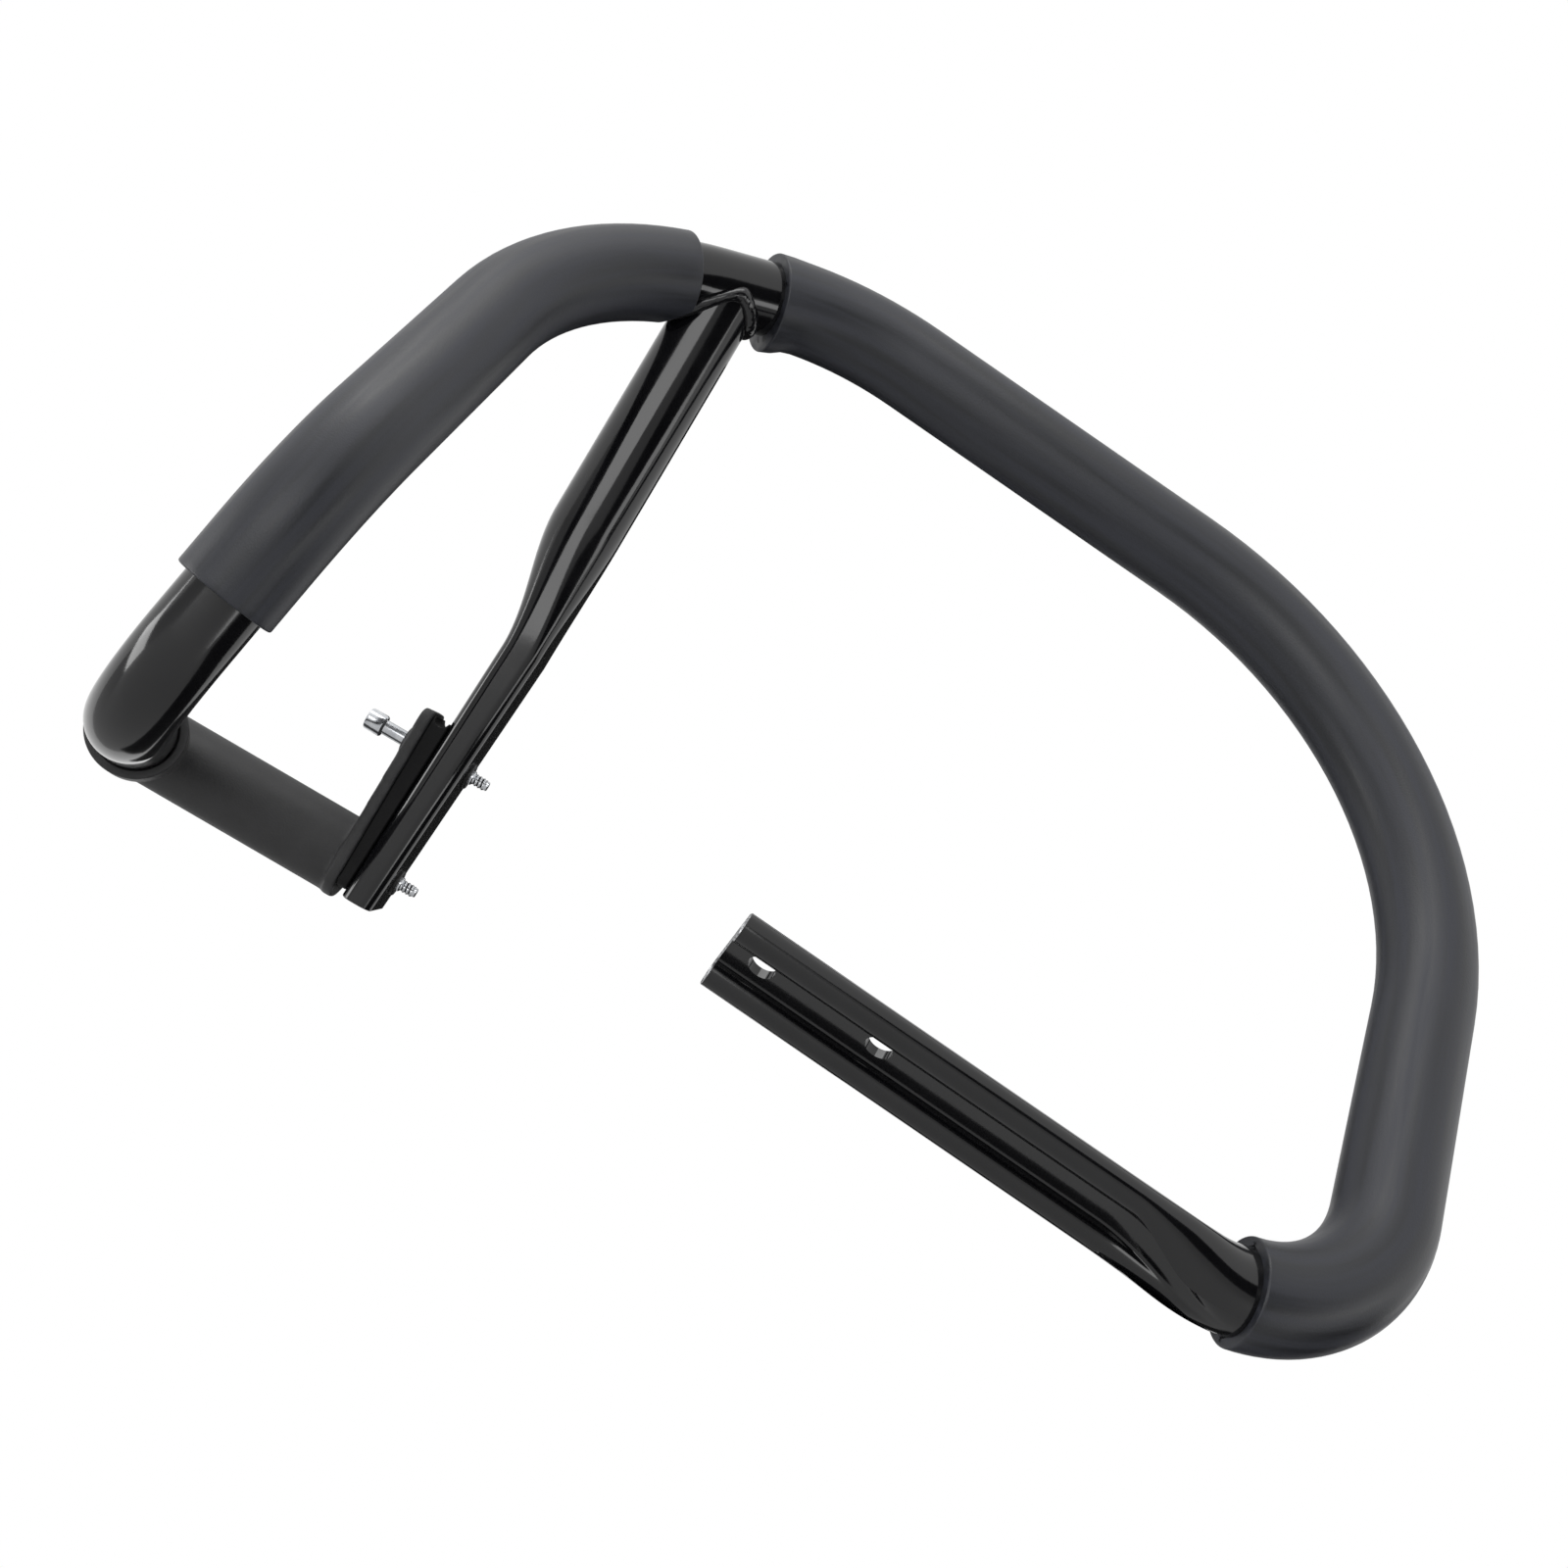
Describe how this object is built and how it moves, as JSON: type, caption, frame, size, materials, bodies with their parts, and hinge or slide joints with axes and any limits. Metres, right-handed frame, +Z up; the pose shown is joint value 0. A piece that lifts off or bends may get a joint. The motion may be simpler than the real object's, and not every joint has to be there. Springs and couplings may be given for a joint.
{
  "type": "chainsaw front handle",
  "caption": "Bent steel tube front handle for a large chainsaw, with rubber grips, a welded brace tube, a flattened two-hole bar and a screwed end bracket.",
  "frame": {"origin": "middle of the two holes of the flattened bar, on the bar's upper face, which seats on the saw", "axes": "+X along the flattened bar towards the right leg of the loop, +Y to the back of the saw, +Z up along the holes"},
  "size_m": [0.4244, 0.1892, 0.2921],
  "materials": {
    "gloss_paint": "gloss black paint on bent steel tube",
    "weld_paint": "painted weld bead",
    "grip_rubber": "matte charcoal rubber sleeve",
    "cast_paint": "matte dark painted casting",
    "spacer_plastic": "matte black",
    "zinc": "bright zinc plate",
    "nut_black": "black oxide"
  },
  "bodies": {
    "root": {"main_tube": "gloss_paint", "brace_tube": "gloss_paint", "weld_bead": "weld_paint", "side_grip": "grip_rubber", "front_grip": "grip_rubber", "end_bracket": "cast_paint", "spacer": "spacer_plastic", "upper_screw": "zinc", "lower_screw": "zinc", "upper_nut": "nut_black", "lower_nut": "nut_black"}
  },
  "joints": []
}
